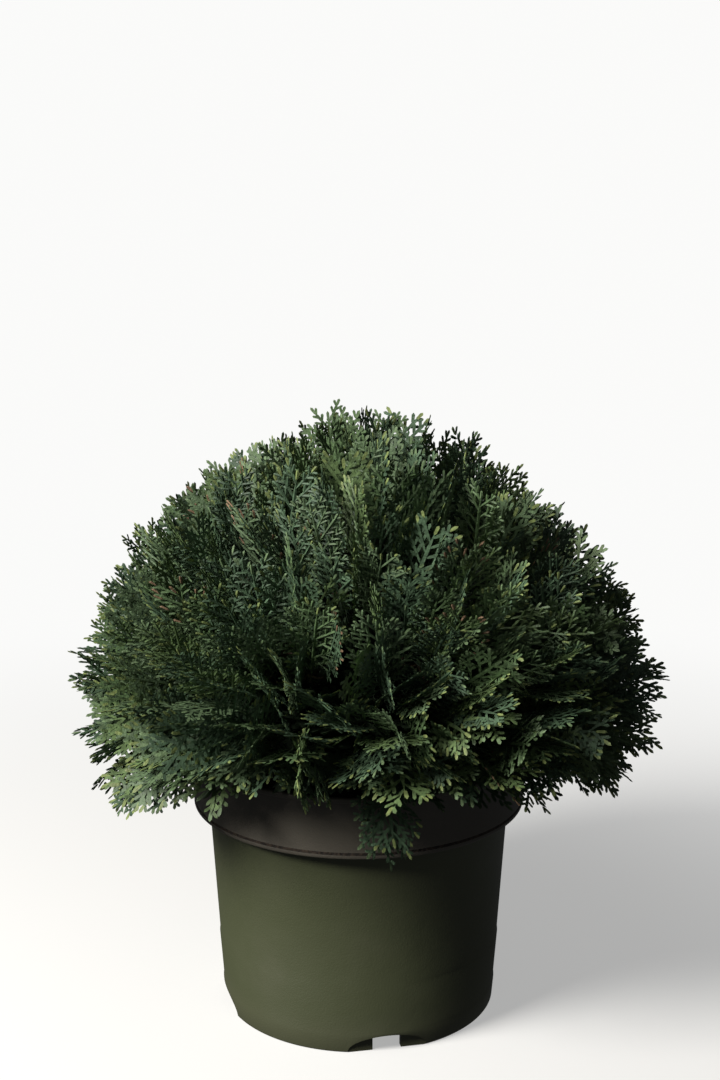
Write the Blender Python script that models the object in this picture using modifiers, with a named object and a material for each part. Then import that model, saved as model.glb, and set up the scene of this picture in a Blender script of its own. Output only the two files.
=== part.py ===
"""A potted dwarf Lawson cypress of the blue-green, dome-shaped kind, built together with its nursery pot.

Metres, +Z up. The pot stands on z = 0, its axis is the z axis, and the front is -Y.
A short trunk stands on the compost and carries whorls of boughs. Each bough ends where it enters its own
mass of foliage. A mass has a stem that goes on from the bough, twigs that branch from it by a seeded rule,
a dense core, and flat toothed sprays that stand out of the core. Every mass keeps to its own space: the
points that are nearer to its stem than to any other.
"""

import math
import random

import bmesh
import bpy
from mathutils import Matrix, Vector
from mathutils.bvhtree import BVHTree
from mathutils.geometry import intersect_point_line

# Pot: a round nursery container of about five litres, with a tall plain rim band
RIM_HEIGHT = 0.175
RIM_RADIUS = 0.110
BAND_FOOT_HEIGHT = 0.135
BAND_FOOT_RADIUS = 0.106
BODY_TOP_RADIUS = 0.0963
FOOT_RADIUS = 0.0882
WALL = 0.0016
FLOOR_UNDERSIDE = 0.0100
FLOOR_THICKNESS = 0.0020
FOOT_RING_WIDTH = 0.0077
PAD_RADIUS = 0.017
POT_SIDES = 40
EDGE = 0.0010

# Drainage: four arches pressed into the foot, each with a notch through the foot ring
ARCH_COUNT = 4
ARCH_FIRST_ANGLE = math.radians(-78)
ARCH_WIDTH = 0.050
ARCH_HEIGHT = 0.011
ARCH_DEPTH = 0.0040
NOTCH_WIDTH = 0.018
NOTCH_HEIGHT = 0.0090

# Compost
COMPOST_HEIGHT = 0.160
COMPOST_EDGE_DROP = 0.003
COMPOST_FLAT_RADIUS = 0.035

# Clearance between pieces that touch
GAP = 0.0003

# Trunk: root flare in low buttresses, taper and lean
TRUNK_FOOT_RADIUS = 0.0105
TRUNK_WAIST_RADIUS = 0.0072
TRUNK_TIP_RADIUS = 0.0026
TRUNK_TOP = 0.246
TRUNK_LEAN = Vector((0.006, -0.003, 0.0))
TRUNK_SIDES = 16
TRUNK_RINGS = 7
FLARE_FADE = 0.005
BUTTRESSES = 4
BUTTRESS_DEPTH = 0.16

# Crown: a dome round this centre, with its reach towards each side, upwards and downwards
CROWN_CENTRE = Vector((0.0, 0.0, 0.200))
REACH_RIGHT = 0.195
REACH_LEFT = 0.186
REACH_FRONT = 0.180
REACH_BACK = 0.186
REACH_TOP = 0.190
REACH_SHOULDER = 0.178
REACH_BELOW = 0.172
LOWEST_ELEVATION = math.radians(-21)

# Whorls of boughs: name, how many, their masses' elevation, the first one's azimuth, the height on the trunk
WHORLS = (
    ("low", 8, math.radians(-3), math.radians(12), 0.180),
    ("middle", 7, math.radians(27), math.radians(31), 0.199),
    ("upper", 4, math.radians(58), math.radians(5), 0.221),
)
AZIMUTH_JITTER = math.radians(4)
ELEVATION_JITTER = math.radians(3)
HEIGHT_JITTER = 0.002

# Boughs
BOUGH_FOOT_RADIUS = 0.0024
BOUGH_TIP_RADIUS = 0.0016
BOUGH_REACH = 0.050
BOUGH_RISE = 0.7
BOUGH_POINTS = 5

# Masses of foliage
MASS_STEM_SHARE = 0.66
MASS_STEM_STRAIGHT = 0.003
MASS_STEM_POINTS = 3
MASS_STEM_TIP = 0.6
TWIG_RADIUS = 0.0013
TWIG_LEAD = 0.5
CORE_SHARE = 0.62
CORE_REACH = 0.70
CORE_NEAREST = 0.060
CORE_LARGEST = 0.050
CORE_STEP = 0.0025
CORE_MARGIN = 0.0022
CORE_LOWEST = 0.178

# Sprays: flat fans set over the dome by the golden angle
SPRAY_COUNT = 152
SPRAY_TRIES = 60
SPRAY_LENGTH = 0.072
SPRAY_WIDTH = 0.045
SPRAY_THICKNESS = 0.0015
SPRAY_TEETH = 3
SPRAY_SUNK = 0.14
TIP_SHORTFALL = 0.05
LIFT = math.radians(24)
LIFT_FULL_AT = math.radians(45)
DROOP = math.radians(8)
GOLDEN_ANGLE = math.pi * (3 - math.sqrt(5))
SPACE_MARGIN = 0.0010
SEED = 41


def clear_scene():
    for ob in list(bpy.data.objects):
        bpy.data.objects.remove(ob, do_unlink=True)


def new_collection(name):
    collection = bpy.data.collections.new(name)
    bpy.context.scene.collection.children.link(collection)
    return collection


def material(name, colour, roughness):
    made = bpy.data.materials.new(name)
    made.use_nodes = True
    shader = made.node_tree.nodes["Principled BSDF"]
    shader.inputs["Base Color"].default_value = (*colour, 1.0)
    shader.inputs["Roughness"].default_value = roughness
    shader.inputs["Metallic"].default_value = 0.0
    return made


def add_object(name, mesh, collection, finish=None):
    ob = bpy.data.objects.new(name, mesh)
    collection.objects.link(ob)
    if finish:
        ob.data.materials.append(finish)
    return ob


def mesh_from(bm, name):
    mesh = bpy.data.meshes.new(name)
    bm.normal_update()
    bm.to_mesh(mesh)
    bm.free()
    return mesh


def smooth(ob, angle=math.radians(40)):
    ob.data.shade_smooth()
    ob.data.set_sharp_from_angle(angle=angle)


def turned(name, profile, collection, finish):
    """A solid of revolution round the z axis, from a profile that runs down its outer side."""
    bm = bmesh.new()
    points = [bm.verts.new((radius, 0.0, height)) for radius, height in profile]
    for first, second in zip(points, points[1:]):
        bm.edges.new((first, second))
    if profile[0][0] > 0.0:
        bm.edges.new((points[-1], points[0]))
    ob = add_object(name, mesh_from(bm, name), collection, finish)
    screw = ob.modifiers.new("turn", "SCREW")
    screw.steps = POT_SIDES
    screw.render_steps = POT_SIDES
    screw.use_merge_vertices = True
    screw.merge_threshold = 0.0001
    return ob


def curve_object(name, points, radii, bevel_resolution, collection):
    """A tapering limb as a curve with filled caps."""
    curve = bpy.data.curves.new(name, "CURVE")
    curve.dimensions = "3D"
    curve.bevel_depth = 1.0
    curve.bevel_resolution = bevel_resolution
    curve.use_fill_caps = True
    spline = curve.splines.new("POLY")
    spline.points.add(len(points) - 1)
    for place, radius, point in zip(points, radii, spline.points):
        point.co = (*place, 1.0)
        point.radius = radius
    ob = bpy.data.objects.new(name, curve)
    collection.objects.link(ob)
    return ob


def meshed(ob, finish=None):
    """The evaluated mesh of a curve object, with its caps welded, in place of that object."""
    bpy.context.view_layer.update()
    graph = bpy.context.evaluated_depsgraph_get()
    mesh = bpy.data.meshes.new_from_object(ob.evaluated_get(graph))
    bm = bmesh.new()
    bm.from_mesh(mesh)
    bmesh.ops.remove_doubles(bm, verts=bm.verts, dist=0.00001)
    bmesh.ops.recalc_face_normals(bm, faces=bm.faces)
    bm.to_mesh(mesh)
    bm.free()
    name, place, collection = ob.name, ob.matrix_world.copy(), ob.users_collection[0]
    bpy.data.objects.remove(ob, do_unlink=True)
    made = add_object(name, mesh, collection, finish)
    made.matrix_world = place
    return made


def body_radius(height):
    """The pot body's outer radius at a height."""
    return FOOT_RADIUS + (BODY_TOP_RADIUS - FOOT_RADIUS) * height / BAND_FOOT_HEIGHT


def band_radius(height):
    """The rim band's outer radius at a height."""
    share = (height - BAND_FOOT_HEIGHT) / (RIM_HEIGHT - BAND_FOOT_HEIGHT)
    return BAND_FOOT_RADIUS + (RIM_RADIUS - BAND_FOOT_RADIUS) * share


def build_pot(collection, cutters, finish):
    floor_top = FLOOR_UNDERSIDE + FLOOR_THICKNESS
    ledge = BAND_FOOT_HEIGHT + WALL
    profile = [
        (RIM_RADIUS - EDGE, RIM_HEIGHT),
        (RIM_RADIUS, RIM_HEIGHT - EDGE),
        (BAND_FOOT_RADIUS, BAND_FOOT_HEIGHT + EDGE),
        (BAND_FOOT_RADIUS - EDGE, BAND_FOOT_HEIGHT),
        (BODY_TOP_RADIUS, BAND_FOOT_HEIGHT),
        (body_radius(EDGE), EDGE),
        (FOOT_RADIUS - EDGE, 0.0),
        (FOOT_RADIUS - FOOT_RING_WIDTH, 0.0),
        (FOOT_RADIUS - FOOT_RING_WIDTH, FLOOR_UNDERSIDE),
        (PAD_RADIUS + EDGE, FLOOR_UNDERSIDE),
        (PAD_RADIUS, 0.0),
        (0.0, 0.0),
        (0.0, floor_top),
        (body_radius(floor_top) - WALL, floor_top),
        (BODY_TOP_RADIUS - WALL, ledge),
        (band_radius(ledge) - WALL, ledge),
        (RIM_RADIUS - WALL, RIM_HEIGHT),
    ]
    pot = turned("pot", profile, collection, finish)
    for index in range(ARCH_COUNT):
        angle = ARCH_FIRST_ANGLE + index * math.tau / ARCH_COUNT
        turn = Matrix.Rotation(angle, 4, "Z")
        arch = arch_cutter(f"arch_{index}", cutters, turn)
        notch = notch_cutter(f"notch_{index}", cutters, turn)
        for cutter in (arch, notch):
            cut = pot.modifiers.new(cutter.name, "BOOLEAN")
            cut.operation = "DIFFERENCE"
            cut.solver = "EXACT"
            cut.object = cutter
    return pot


def hide_cutter(ob):
    ob.hide_render = True
    ob.display_type = "WIRE"


def arch_cutter(name, collection, turn):
    """A half-oval block that presses the arch into the foot's outer face."""
    inner = FOOT_RADIUS - ARCH_DEPTH
    length = 0.02
    bm = bmesh.new()
    bmesh.ops.create_cone(
        bm, cap_ends=True, segments=32, radius1=1.0, radius2=1.0, depth=length
    )
    lie_along_x = Matrix.Rotation(math.pi / 2, 4, "Y")
    oval = Matrix.Diagonal((1.0, ARCH_WIDTH / 2, ARCH_HEIGHT, 1.0))
    place = Matrix.Translation((inner + length / 2, 0.0, 0.0))
    bmesh.ops.transform(bm, matrix=turn @ place @ oval @ lie_along_x, verts=bm.verts)
    ob = add_object(name, mesh_from(bm, name), collection)
    hide_cutter(ob)
    return ob


def notch_cutter(name, collection, turn):
    """A block through the foot ring, open below."""
    length = FOOT_RING_WIDTH + 0.008
    bm = bmesh.new()
    bmesh.ops.create_cube(bm, size=1.0)
    size = Matrix.Diagonal((length, NOTCH_WIDTH, 2 * NOTCH_HEIGHT, 1.0))
    place = Matrix.Translation((FOOT_RADIUS - FOOT_RING_WIDTH / 2, 0.0, 0.0))
    bmesh.ops.transform(bm, matrix=turn @ place @ size, verts=bm.verts)
    ob = add_object(name, mesh_from(bm, name), collection)
    hide_cutter(ob)
    return ob


def build_compost(collection, finish):
    """The fill of the pot, clear of its walls all round and flat under the stem."""
    clear = GAP / math.cos(math.pi / POT_SIDES) + GAP
    floor_top = FLOOR_UNDERSIDE + FLOOR_THICKNESS
    ledge = BAND_FOOT_HEIGHT + WALL
    edge = COMPOST_HEIGHT - COMPOST_EDGE_DROP
    profile = [
        (0.0, COMPOST_HEIGHT),
        (COMPOST_FLAT_RADIUS, COMPOST_HEIGHT),
        (band_radius(edge) - WALL - clear, edge),
        (band_radius(ledge) - WALL - clear, ledge + GAP),
        (BODY_TOP_RADIUS - WALL - clear, ledge + GAP),
        (body_radius(floor_top) - WALL - clear, floor_top + GAP),
        (0.0, floor_top + GAP),
    ]
    return turned("compost", profile, collection, finish)


def trunk_share(height):
    """How far up the trunk a height is, from 0 at its foot to 1 at its tip."""
    foot = COMPOST_HEIGHT + GAP
    return max(0.0, (height - foot) / (TRUNK_TOP - foot))


def trunk_centre(height):
    """The trunk's centre line: upright at the ground, then leaning."""
    place = TRUNK_LEAN * trunk_share(height) ** 1.5
    return Vector((place.x, place.y, height))


def trunk_radius(height):
    """The trunk's radius: a root flare at the foot, then an even taper."""
    rise = height - COMPOST_HEIGHT - GAP
    taper = TRUNK_WAIST_RADIUS + (TRUNK_TIP_RADIUS - TRUNK_WAIST_RADIUS) * trunk_share(height)
    return taper + (TRUNK_FOOT_RADIUS - TRUNK_WAIST_RADIUS) * math.exp(-rise / FLARE_FADE)


def build_trunk(collection, finish):
    """A tapering, leaning trunk whose foot flares out in low buttresses, cut flat at the ground."""
    foot = COMPOST_HEIGHT + GAP
    bm = bmesh.new()
    bmesh.ops.create_cone(
        bm, cap_ends=True, segments=TRUNK_SIDES, radius1=1.0, radius2=1.0, depth=1.0
    )
    upright = [edge for edge in bm.edges if abs(edge.verts[0].co.z - edge.verts[1].co.z) > 0.5]
    bmesh.ops.subdivide_edges(bm, edges=upright, cuts=TRUNK_RINGS)
    for vert in bm.verts:
        height = foot + (TRUNK_TOP - foot) * (vert.co.z + 0.5) ** 1.6
        angle = math.atan2(vert.co.y, vert.co.x)
        low = math.exp(-(height - foot) / FLARE_FADE)
        radius = trunk_radius(height) * (1 + BUTTRESS_DEPTH * math.cos(BUTTRESSES * angle) * low)
        out = Vector((math.cos(angle), math.sin(angle), 0.0)) * radius
        vert.co = trunk_centre(height) + out
    trunk = add_object("trunk", mesh_from(bm, "trunk"), collection, finish)
    smooth(trunk)


def direction(azimuth, elevation):
    """A unit vector; azimuth 0 is the right side, +X, and it turns towards the back, +Y."""
    flat = math.cos(elevation)
    return Vector((flat * math.cos(azimuth), flat * math.sin(azimuth), math.sin(elevation)))


def crown_reach(way):
    """How far the crown reaches from its centre in a direction."""
    elevation = math.asin(max(-1.0, min(1.0, way.z)))
    flat = math.hypot(way.x, way.y) or 1.0
    east, north = way.x / flat, way.y / flat
    across = REACH_RIGHT if east > 0 else REACH_LEFT
    along = REACH_BACK if north > 0 else REACH_FRONT
    side = across * east * east + along * north * north
    if elevation < 0:
        share = min(1.0, elevation / LOWEST_ELEVATION)
        return side + (REACH_BELOW - side) * share**1.5
    share = elevation / (math.pi / 2)
    shoulder = math.sin(math.pi * share) ** 2
    plain = side + (REACH_TOP - side) * share
    return plain + (REACH_SHOULDER - plain) * shoulder * 0.8


def growth(way):
    """The way a spray grows where the crown faces this way: swept upwards, and drooping low down."""
    elevation = math.asin(max(-1.0, min(1.0, way.z)))
    if elevation > 0:
        lift = LIFT * math.sin(min(1.0, elevation / LIFT_FULL_AT) * math.pi / 2)
        swept = min(elevation + lift, math.pi / 2)
    else:
        swept = elevation - DROOP * min(1.0, elevation / LOWEST_ELEVATION)
    return direction(math.atan2(way.y, way.x), swept)


def mass_plan():
    """Every mass on a bough: its name, the way it faces, and the height where its bough leaves the trunk."""
    chance = random.Random(SEED)
    plan = []
    for whorl, count, elevation, first, height in WHORLS:
        for index in range(count):
            azimuth = first + index * math.tau / count
            azimuth += chance.uniform(-AZIMUTH_JITTER, AZIMUTH_JITTER)
            rise = elevation + chance.uniform(-ELEVATION_JITTER, ELEVATION_JITTER)
            leave = height + chance.uniform(-HEIGHT_JITTER, HEIGHT_JITTER)
            plan.append((f"{whorl}_{index + 1}", direction(azimuth, rise), leave))
    return plan


def bough_path(way, leave):
    """From the trunk's bark to the bough's tip, curving from flat to the way its mass faces."""
    flat = Vector((way.x, way.y, 0.0)).normalized()
    tip = CROWN_CENTRE + direction(math.atan2(way.y, way.x), math.asin(way.z) * BOUGH_RISE) * BOUGH_REACH
    start = trunk_centre(leave) + flat * (trunk_radius(leave) + GAP)
    bend = start + flat * (tip - start).length * 0.5
    rise = (quadratic(start, bend, tip, 1 / (BOUGH_POINTS - 1)) - start).normalized().z
    start += flat * BOUGH_FOOT_RADIUS * abs(rise)
    return [quadratic(start, bend, tip, i / (BOUGH_POINTS - 1)) for i in range(BOUGH_POINTS)]


def quadratic(start, bend, end, share):
    first = start.lerp(bend, share)
    second = bend.lerp(end, share)
    return first.lerp(second, share)


def mass_stem(way, path):
    """The centre line that a mass's twigs branch from, going on from its bough's tip."""
    ahead = (path[-1] - path[-2]).normalized()
    foot = path[-1] + ahead * GAP
    start = foot + ahead * MASS_STEM_STRAIGHT
    end = CROWN_CENTRE + way * crown_reach(way) * MASS_STEM_SHARE
    bend = end - growth(way) * (end - start).length * 0.5
    count = MASS_STEM_POINTS
    return [foot] + [quadratic(start, bend, end, i / (count - 1)) for i in range(count)]


def nearest_on_line(place, line):
    """The point of a line nearest to a place."""
    best = line[0]
    for first, second in zip(line, line[1:]):
        nearest, share = intersect_point_line(place, first, second)
        if share < 0:
            nearest = first
        elif share > 1:
            nearest = second
        if (place - nearest).length < (place - best).length:
            best = nearest
    return best


def distance_to_line(place, line):
    return (place - nearest_on_line(place, line)).length


def clear_of_pot_and_limbs(place):
    """True if a point is outside the middle, where the limbs are, and clear of the pot's mouth and rim."""
    if (place - CROWN_CENTRE).length < CORE_NEAREST:
        return False
    over_the_mouth = math.hypot(place.x, place.y) < RIM_RADIUS + 2 * SPACE_MARGIN
    return place.z > RIM_HEIGHT + 2 * SPACE_MARGIN or not over_the_mouth


def in_own_space(place, index, stems, margin=SPACE_MARGIN):
    """True if a point is nearer to its own mass's stem than to any other by the margin on each side."""
    if not clear_of_pot_and_limbs(place):
        return False
    own = distance_to_line(place, stems[index])
    return all(
        distance_to_line(place, line) - own > 2 * margin
        for other, line in enumerate(stems)
        if other != index
    )


def spray_outline(teeth):
    """The outline of a flat spray, one unit long and one wide, with forward-pointing teeth."""
    side = [(0.035, 0.0)]
    for tooth in range(teeth):
        share = tooth / (teeth - 1)
        notch = 0.34 + 0.42 * share
        fullness = math.sin(math.pi * (0.36 + 0.40 * share))
        side.append((0.06 + 0.07 * math.sin(math.pi * (0.2 + 0.7 * share)), notch))
        side.append((0.5 * fullness, notch + 0.16))
    side.append((0.08, 0.90))
    return side + [(0.0, 1.0)] + [(-across, along) for across, along in reversed(side)]


def spray_mesh(teeth, collection):
    """The spray as a mesh one unit long, wide and thick, from a flat filled curve."""
    curve = bpy.data.curves.new(f"spray_{teeth}", "CURVE")
    curve.dimensions = "2D"
    curve.fill_mode = "BOTH"
    curve.extrude = 0.5
    outline = spray_outline(teeth)
    spline = curve.splines.new("POLY")
    spline.points.add(len(outline) - 1)
    spline.use_cyclic_u = True
    for point, (across, along) in zip(spline.points, outline):
        point.co = (across, along, 0.0, 1.0)
    ob = bpy.data.objects.new(curve.name, curve)
    collection.objects.link(ob)
    ob = meshed(ob)
    mesh = ob.data
    bpy.data.objects.remove(ob, do_unlink=True)
    return mesh


def spray_place(root, ahead, roll, length, width):
    """The matrix that lays a spray from its root along a direction, turned about it by roll."""
    level = Vector((0.0, 0.0, 1.0)).cross(ahead)
    level = level.normalized() if level.length > 0.05 else Vector((1.0, 0.0, 0.0))
    side = Matrix.Rotation(roll, 3, ahead) @ level
    face = side.cross(ahead)
    turn = Matrix((side * width, ahead * length, face * SPRAY_THICKNESS)).transposed()
    return Matrix.Translation(root) @ turn.to_4x4()


def sampled(mesh, place):
    """Points over a placed mesh: its corners and the middles of its edges."""
    corners = [place @ vert.co for vert in mesh.vertices]
    middles = [(corners[a] + corners[b]) / 2 for a, b in (edge.vertices for edge in mesh.edges)]
    return corners + middles


def dome_directions(count):
    """Directions spread evenly over the dome, from its lowest sprays to its top, by the golden angle."""
    lowest = math.sin(LOWEST_ELEVATION)
    for number in range(count):
        height = lowest + (1.0 - lowest) * (number + 0.5) / count
        yield direction(number * GOLDEN_ANGLE, math.asin(height))


def nearest_mass(place, stems):
    return min(range(len(stems)), key=lambda index: distance_to_line(place, stems[index]))


def blade_tree(place):
    """The broad part of a placed spray as a search tree, to keep the sprays of a mass from crossing."""
    kite = [(-0.10, 0.36), (-0.46, 0.70), (0.0, 1.0), (0.46, 0.70), (0.10, 0.36)]
    corners = [place @ Vector((across, along, 0.0)) for across, along in kite]
    return BVHTree.FromPolygons(corners, [tuple(range(len(corners)))])


def fit_spray(tip_way, index, stems, mesh, trees, chance):
    """A place for a spray whose tip is on the dome, wholly in its mass's own space, or None."""
    tip = CROWN_CENTRE + tip_way * crown_reach(tip_way) * (1 - chance.uniform(0.0, TIP_SHORTFALL))
    length = SPRAY_LENGTH * chance.uniform(0.90, 1.10)
    width = SPRAY_WIDTH * chance.uniform(0.85, 1.15)
    from_stem = (tip - nearest_on_line(tip, stems[index])).normalized()
    for attempt in range(SPRAY_TRIES):
        closer = attempt / SPRAY_TRIES
        ahead = growth(tip_way).lerp(from_stem, 0.3 + 0.5 * closer).normalized()
        size = length * (1 - 0.25 * closer)
        place = spray_place(
            tip - ahead * size, ahead, chance.uniform(0.0, math.pi), size, width * (1 - 0.3 * closer)
        )
        if not all(in_own_space(point, index, stems) for point in sampled(mesh, place)):
            continue
        tree = blade_tree(place)
        if any(tree.overlap(other) for other in trees):
            continue
        trees.append(tree)
        return place
    return None


def build_mass(name, index, stems, tip_ways, template, collection, finish):
    """One mass of foliage: stem, core, twigs and sprays, joined into one solid."""
    chance = random.Random(SEED + index)
    stem = stems[index]
    parts = new_collection(f"{name}_parts")
    radii = evenly(BOUGH_TIP_RADIUS, BOUGH_TIP_RADIUS * MASS_STEM_TIP, len(stem))
    meshed(curve_object(f"{name}_stem", stem, radii, 0, parts))
    add_core(name, index, stems, parts)
    trees = []
    for number, tip_way in enumerate(tip_ways):
        place = fit_spray(tip_way, index, stems, template, trees, chance)
        if place is None:
            continue
        spray = add_object(f"{name}_spray_{number}", template, parts)
        spray.matrix_world = place
        add_twig(f"{name}_twig_{number}", stem, place @ Vector((0.0, SPRAY_SUNK, 0.0)), parts)
    join_mass(name, parts, collection, finish)


def add_core(name, index, stems, parts):
    """The dense heart of a mass: a ball round its stem, drawn out on each side as far as its own space goes."""
    stem = stems[index]
    centre = stem[0].lerp(stem[-1], CORE_SHARE)
    bm = bmesh.new()
    bmesh.ops.create_icosphere(bm, subdivisions=2, radius=1.0)
    for vert in bm.verts:
        way = vert.co.normalized()
        out = 2 * CORE_STEP
        while out < CORE_LARGEST and core_may_hold(centre + way * (out + CORE_STEP), index, stems):
            out += CORE_STEP
        vert.co = centre + way * out
    add_object(f"{name}_core", mesh_from(bm, f"{name}_core"), parts)


def core_may_hold(place, index, stems):
    away = place - CROWN_CENTRE
    if away.length > crown_reach(away.normalized()) * CORE_REACH or place.z < CORE_LOWEST:
        return False
    return in_own_space(place, index, stems, CORE_MARGIN)


def add_twig(name, stem, tip, parts):
    """A three-sided twig that leaves the mass's stem, slanting forward, for a spray's stalk."""
    beside = nearest_on_line(tip, stem)
    back = (stem[0] - beside).normalized() * (tip - beside).length * TWIG_LEAD
    foot = nearest_on_line(beside + back, stem)
    ahead = tip - foot
    bm = bmesh.new()
    bmesh.ops.create_cone(
        bm,
        cap_ends=True,
        segments=3,
        radius1=TWIG_RADIUS,
        radius2=TWIG_RADIUS * 0.7,
        depth=ahead.length,
    )
    turn = ahead.to_track_quat("Z", "Y").to_matrix().to_4x4()
    middle = Matrix.Translation(foot + ahead / 2)
    bmesh.ops.transform(bm, matrix=middle @ turn, verts=bm.verts)
    add_object(name, mesh_from(bm, name), parts)


def join_mass(name, parts, collection, finish):
    """One Boolean union over the mass's collection, applied, after which the loose objects go."""
    first = parts.objects[0]
    mass = add_object(name, first.data.copy(), collection)
    bpy.data.objects.remove(first, do_unlink=True)
    union = mass.modifiers.new("union", "BOOLEAN")
    union.operation = "UNION"
    union.solver = "MANIFOLD"
    union.operand_type = "COLLECTION"
    union.collection = parts
    bpy.context.view_layer.update()
    graph = bpy.context.evaluated_depsgraph_get()
    joined = bpy.data.meshes.new_from_object(mass.evaluated_get(graph))
    mass.modifiers.remove(union)
    mass.data = joined
    mass.data.materials.clear()
    mass.data.materials.append(finish)
    for ob in list(parts.objects):
        bpy.data.objects.remove(ob, do_unlink=True)
    bpy.data.collections.remove(parts)


def evenly(first, last, count):
    """Values from first to last, evenly spaced."""
    return [first + (last - first) * step / (count - 1) for step in range(count)]


def main():
    clear_scene()
    plant = new_collection("potted_dwarf_cypress")
    cutters = new_collection("cutters")
    plastic = material("pot_plastic", (0.052, 0.058, 0.040), 0.55)
    earth = material("compost", (0.030, 0.022, 0.016), 0.95)
    bark = material("bark", (0.115, 0.075, 0.050), 0.90)
    green = material("foliage", (0.060, 0.120, 0.060), 0.70)
    build_pot(plant, cutters, plastic)
    build_compost(plant, earth)
    build_trunk(plant, bark)

    names, stems = [], []
    for name, way, leave in mass_plan():
        path = bough_path(way, leave)
        radii = evenly(BOUGH_FOOT_RADIUS, BOUGH_TIP_RADIUS, BOUGH_POINTS)
        smooth(meshed(curve_object(f"bough_{name}", path, radii, 1, plant), bark))
        names.append(f"foliage_{name}")
        stems.append(mass_stem(way, path))
    leader = [trunk_centre(TRUNK_TOP - BOUGH_FOOT_RADIUS), trunk_centre(TRUNK_TOP)]
    names.append("foliage_top")
    stems.append(mass_stem(Vector((0.0, 0.0, 1.0)), leader))

    tips = [[] for _ in stems]
    for way in dome_directions(SPRAY_COUNT):
        tips[nearest_mass(CROWN_CENTRE + way * crown_reach(way), stems)].append(way)
    template = spray_mesh(SPRAY_TEETH, cutters)
    for index, name in enumerate(names):
        build_mass(name, index, stems, tips[index], template, plant, green)


main()
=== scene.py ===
import math
import random

import bmesh
import bpy
import numpy as np
from mathutils import Matrix, Vector, noise
from mathutils.geometry import intersect_point_line


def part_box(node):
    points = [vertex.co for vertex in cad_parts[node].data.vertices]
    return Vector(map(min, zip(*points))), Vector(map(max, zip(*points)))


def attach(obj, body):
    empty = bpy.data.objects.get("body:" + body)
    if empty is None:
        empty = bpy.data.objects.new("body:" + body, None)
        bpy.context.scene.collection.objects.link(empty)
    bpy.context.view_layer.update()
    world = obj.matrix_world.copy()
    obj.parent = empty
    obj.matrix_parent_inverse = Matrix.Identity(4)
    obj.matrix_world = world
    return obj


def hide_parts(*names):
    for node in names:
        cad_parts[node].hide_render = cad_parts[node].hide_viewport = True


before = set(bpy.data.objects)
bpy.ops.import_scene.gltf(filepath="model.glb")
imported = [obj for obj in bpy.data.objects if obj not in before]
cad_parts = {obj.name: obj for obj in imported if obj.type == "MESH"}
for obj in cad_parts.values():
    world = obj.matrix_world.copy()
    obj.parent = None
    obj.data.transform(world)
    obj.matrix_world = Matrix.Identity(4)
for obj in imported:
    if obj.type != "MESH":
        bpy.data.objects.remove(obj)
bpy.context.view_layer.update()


# The studio: a camera a little above the plant, one large soft lamp from the upper left and front, a faint
# fill, and a wide pale floor that runs on into a plain pale background.
CAMERA_PLACE = (0.0009, -1.092, 0.557)
CAMERA_PITCH = math.radians(-13.02)
FOCAL_LENGTH_PX = 1788
PICTURE_HEIGHT_PX = 1080
SENSOR_LONG_SIDE_MM = 36.0
PALE = (0.96, 0.96, 0.95, 1.0)
FLOOR_RADIUS = 14.0
FLOOR_SIDES = 96
FLOOR_ROUGHNESS = 0.9
FLOOR_FADE = (0.20, 0.95)
FLOOR_GLOW = 0.42
FILL_COLOUR = (0.95, 0.97, 1.0, 1.0)
FILL_STRENGTH = 0.065
KEY_COLOUR = (1.0, 0.97, 0.92)
KEY_PLACE = Vector((-1.50, -0.98, 1.50))
KEY_AIM = Vector((0.0, 0.0, 0.20))
KEY_SIZE = 0.9
KEY_WATTS = 80.0


class Shade:
    """A node socket that is used in Python sums; each sum adds its Math node to the tree."""

    def __init__(self, tree, socket=None):
        self.tree = tree
        self.socket = socket

    def node(self, kind, settings=None, inputs=None, output=0):
        """Any other node: its settings are set first, then its sockets get their values or links."""
        made = self.tree.nodes.new(kind)
        for name, value in (settings or {}).items():
            setattr(made, name, value)
        for name, value in (inputs or {}).items():
            self.feed(made.inputs[name], value)
        return Shade(self.tree, made.outputs[output])

    def feed(self, socket, value):
        """A link into a socket, or a plain value for it."""
        if isinstance(value, Shade):
            self.tree.links.new(value.socket, socket)
        else:
            socket.default_value = value

    def sum_of(self, operation, first, second):
        return self.node("ShaderNodeMath", {"operation": operation}, {0: first, 1: second})

    def __add__(self, other):
        return self.sum_of("ADD", self, other)

    def __sub__(self, other):
        return self.sum_of("SUBTRACT", self, other)

    def __rsub__(self, other):
        return self.sum_of("SUBTRACT", other, self)

    def __mul__(self, other):
        return self.sum_of("MULTIPLY", self, other)

    __radd__ = __add__
    __rmul__ = __mul__

    def between(self, low, high):
        """This value, which runs from 0 to 1, stretched to run between two numbers."""
        return self * (high - low) + low

    def fade(self, low, high):
        """A smooth step from 0 to 1 between two values."""
        settings = {"interpolation_type": "SMOOTHSTEP"}
        return self.node("ShaderNodeMapRange", settings, {"Value": self, "From Min": low, "From Max": high})

    def blend(self, first, second):
        """Two colours mixed by this value: the Mix node's sockets 6 and 7, mixed at its output 2."""
        return self.node("ShaderNodeMix", {"data_type": "RGBA"}, {0: self, 6: first, 7: second}, 2)

    def cloud(self, scale, detail):
        """Noise from 0 to 1 over these coordinates."""
        return self.node("ShaderNodeTexNoise", inputs={"Vector": self, "Scale": scale, "Detail": detail})

    def bump(self, distance, strength=1.0):
        """A normal from this height."""
        sockets = {"Height": self, "Distance": distance, "Strength": strength}
        return self.node("ShaderNodeBump", inputs=sockets)


def new_finish(name):
    """A material, its Principled shader's sockets, and the coordinates of the piece that wears it."""
    finish = bpy.data.materials.new(name)
    finish.use_nodes = True
    place = Shade(finish.node_tree).node("ShaderNodeTexCoord", output="Object")
    return finish, finish.node_tree.nodes["Principled BSDF"].inputs, place


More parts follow.
